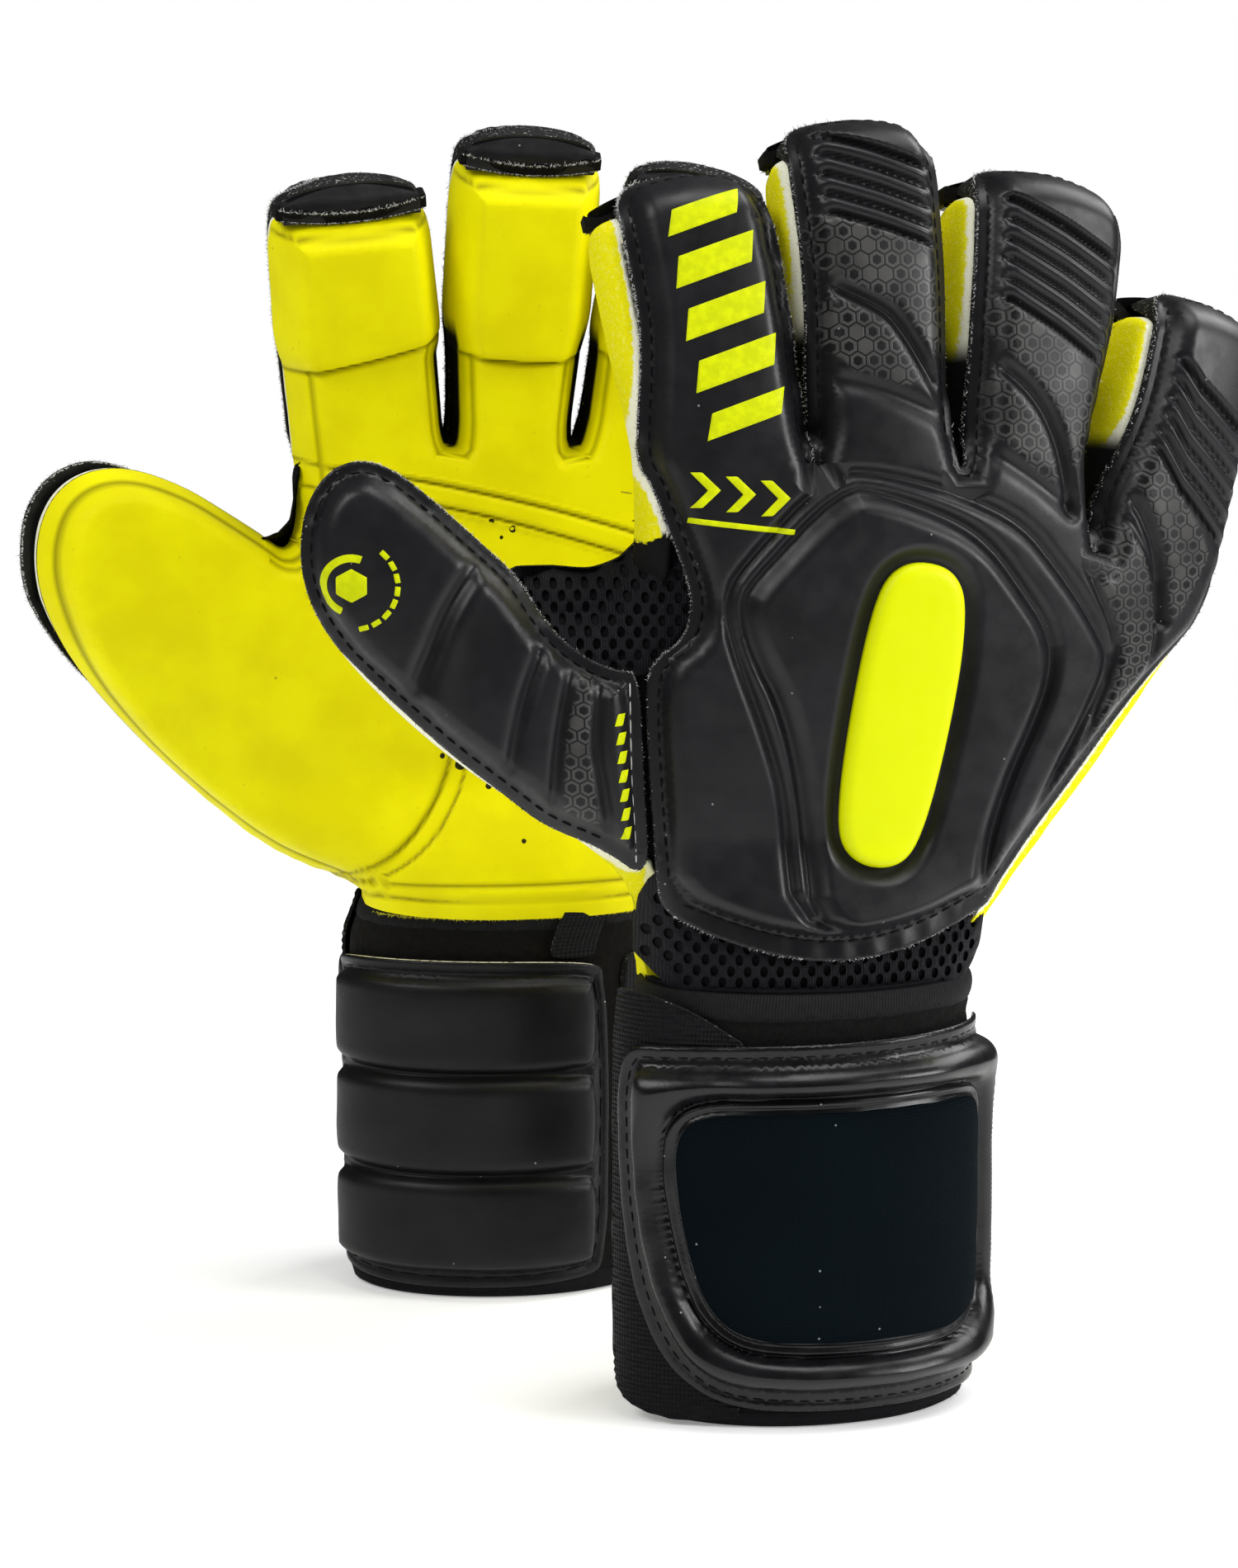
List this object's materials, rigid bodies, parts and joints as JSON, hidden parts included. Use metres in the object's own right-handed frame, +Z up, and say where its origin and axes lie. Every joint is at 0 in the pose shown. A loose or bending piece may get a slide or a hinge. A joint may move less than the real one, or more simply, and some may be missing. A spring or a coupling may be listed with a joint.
{
  "type": "goalkeeper gloves",
  "caption": "Pair of football goalkeeper gloves standing on their cuffs, with padded fingers that bend, ribbed black backs, smooth yellow latex palms and wrap-around wrist straps.",
  "frame": {"origin": "on the floor, under the middle of the pair's bounding box", "axes": "+Z up along the fingers; the right glove's back faces -Y and the left glove, behind it, faces -Y with its palm; both thumbs point to -X"},
  "size_m": [0.2775, 0.1658, 0.281],
  "materials": {
    "back_foam": "moulded soft foam with a satin skin",
    "palm_latex": "smooth matt latex foam",
    "badge_rubber": "smooth moulded rubber",
    "spacer_mesh": "open spacer mesh with oval holes",
    "lining_fabric": "brushed knitted lining",
    "loop_fabric": "fuzzy loop fabric",
    "strap_foam": "moulded foam with a glossy leather-like skin",
    "knit_fabric": "fine ribbed knit over neoprene",
    "webbing": "woven webbing and hook tape"
  },
  "bodies": {
    "right_hand": {"right_thumb_base_back": "back_foam", "right_hand_back": "back_foam", "right_thumb_base_palm": "palm_latex", "right_palm_upper": "palm_latex", "right_palm_heel": "palm_latex", "right_back_badge": "badge_rubber", "right_thumb_web_mesh": "spacer_mesh", "right_wrist_mesh": "spacer_mesh", "right_hand_lining": "lining_fabric", "right_cuff_sleeve": "lining_fabric", "right_loop_band": "loop_fabric", "right_palm_pad": "strap_foam", "right_strap_root": "webbing", "right_pull_tab": "webbing"},
    "right_index": {"right_index_back": "back_foam", "right_index_palm": "palm_latex"},
    "right_middle": {"right_middle_back": "back_foam", "right_middle_palm": "palm_latex"},
    "right_ring": {"right_ring_back": "back_foam", "right_ring_palm": "palm_latex"},
    "right_little": {"right_little_back": "back_foam", "right_little_palm": "palm_latex"},
    "right_thumb": {"right_thumb_back": "back_foam", "right_thumb_palm": "palm_latex"},
    "right_strap": {"right_strap_pad": "strap_foam", "right_strap_panel": "knit_fabric", "right_hook_strip": "webbing"},
    "left_hand": {"left_thumb_base_back": "back_foam", "left_hand_back": "back_foam", "left_thumb_base_palm": "palm_latex", "left_palm_upper": "palm_latex", "left_palm_heel": "palm_latex", "left_back_badge": "badge_rubber", "left_thumb_web_mesh": "spacer_mesh", "left_wrist_mesh": "spacer_mesh", "left_hand_lining": "lining_fabric", "left_cuff_sleeve": "lining_fabric", "left_loop_band": "loop_fabric", "left_palm_pad": "strap_foam", "left_strap_root": "webbing", "left_pull_tab": "webbing"},
    "left_index": {"left_index_back": "back_foam", "left_index_palm": "palm_latex"},
    "left_middle": {"left_middle_back": "back_foam", "left_middle_palm": "palm_latex"},
    "left_ring": {"left_ring_back": "back_foam", "left_ring_palm": "palm_latex"},
    "left_little": {"left_little_back": "back_foam", "left_little_palm": "palm_latex"},
    "left_thumb": {"left_thumb_back": "back_foam", "left_thumb_palm": "palm_latex"},
    "left_strap": {"left_strap_pad": "strap_foam", "left_strap_panel": "knit_fabric", "left_hook_strip": "webbing"}
  },
  "joints": [
    {"name": "right_index_bend", "type": "hinge", "parent": "right_hand", "child": "right_index", "pos_m": [0.02109, -0.05435, 0.206], "axis": [-0.9675, -0.1877, -0.1693], "range_deg": [-6, 32], "stiffness_Nm_per_rad": 0.06},
    {"name": "right_middle_bend", "type": "hinge", "parent": "right_hand", "child": "right_middle", "pos_m": [0.05464, -0.04629, 0.2105], "axis": [-0.9544, -0.2911, -0.0662], "range_deg": [-6, 32], "stiffness_Nm_per_rad": 0.06},
    {"name": "right_ring_bend", "type": "hinge", "parent": "right_hand", "child": "right_ring", "pos_m": [0.08358, -0.03604, 0.205], "axis": [-0.9083, -0.3951, 0.1371], "range_deg": [-6, 32], "stiffness_Nm_per_rad": 0.06},
    {"name": "right_little_bend", "type": "hinge", "parent": "right_hand", "child": "right_little", "pos_m": [0.11344, -0.0209, 0.187], "axis": [-0.8194, -0.4997, 0.2808], "range_deg": [-6, 32], "stiffness_Nm_per_rad": 0.06},
    {"name": "right_thumb_bend", "type": "hinge", "parent": "right_hand", "child": "right_thumb", "pos_m": [-0.00944, -0.05989, 0.151], "axis": [-0.5862, -0.1234, -0.8007], "range_deg": [-6, 28], "stiffness_Nm_per_rad": 0.08},
    {"name": "right_strap_open", "type": "hinge", "parent": "right_hand", "child": "right_strap", "pos_m": [0.08354, -0.03861, 0.045], "axis": [0, 0, 1], "range_deg": [0, 110]},
    {"name": "left_index_bend", "type": "hinge", "parent": "left_hand", "child": "left_index", "pos_m": [-0.06009, 0.0444, 0.204], "axis": [0.9719, 0.2141, 0.098], "range_deg": [-6, 32], "stiffness_Nm_per_rad": 0.06},
    {"name": "left_middle_bend", "type": "hinge", "parent": "left_hand", "child": "left_middle", "pos_m": [-0.02661, 0.05042, 0.207], "axis": [0.9885, 0.1444, -0.0454], "range_deg": [-6, 32], "stiffness_Nm_per_rad": 0.06},
    {"name": "left_ring_bend", "type": "hinge", "parent": "left_hand", "child": "left_ring", "pos_m": [0.00383, 0.05302, 0.205], "axis": [0.9771, 0.0267, -0.2113], "range_deg": [-6, 32], "stiffness_Nm_per_rad": 0.06},
    {"name": "left_little_bend", "type": "hinge", "parent": "left_hand", "child": "left_little", "pos_m": [0.03426, 0.05207, 0.188], "axis": [0.9279, -0.1011, -0.3588], "range_deg": [-6, 32], "stiffness_Nm_per_rad": 0.06},
    {"name": "left_thumb_bend", "type": "hinge", "parent": "left_hand", "child": "left_thumb", "pos_m": [-0.09002, 0.03816, 0.149], "axis": [0.5968, 0.0735, 0.799], "range_deg": [-6, 28], "stiffness_Nm_per_rad": 0.08},
    {"name": "left_strap_open", "type": "hinge", "parent": "left_hand", "child": "left_strap", "pos_m": [0.01908, 0.05513, 0.045], "axis": [0, 0, -1], "range_deg": [0, 110]},
    {"name": "left_glove_move", "type": "slide", "parent": "right_hand", "child": "left_hand", "axis": [0, 1, 0], "range_m": [0, 0.15]}
  ]
}
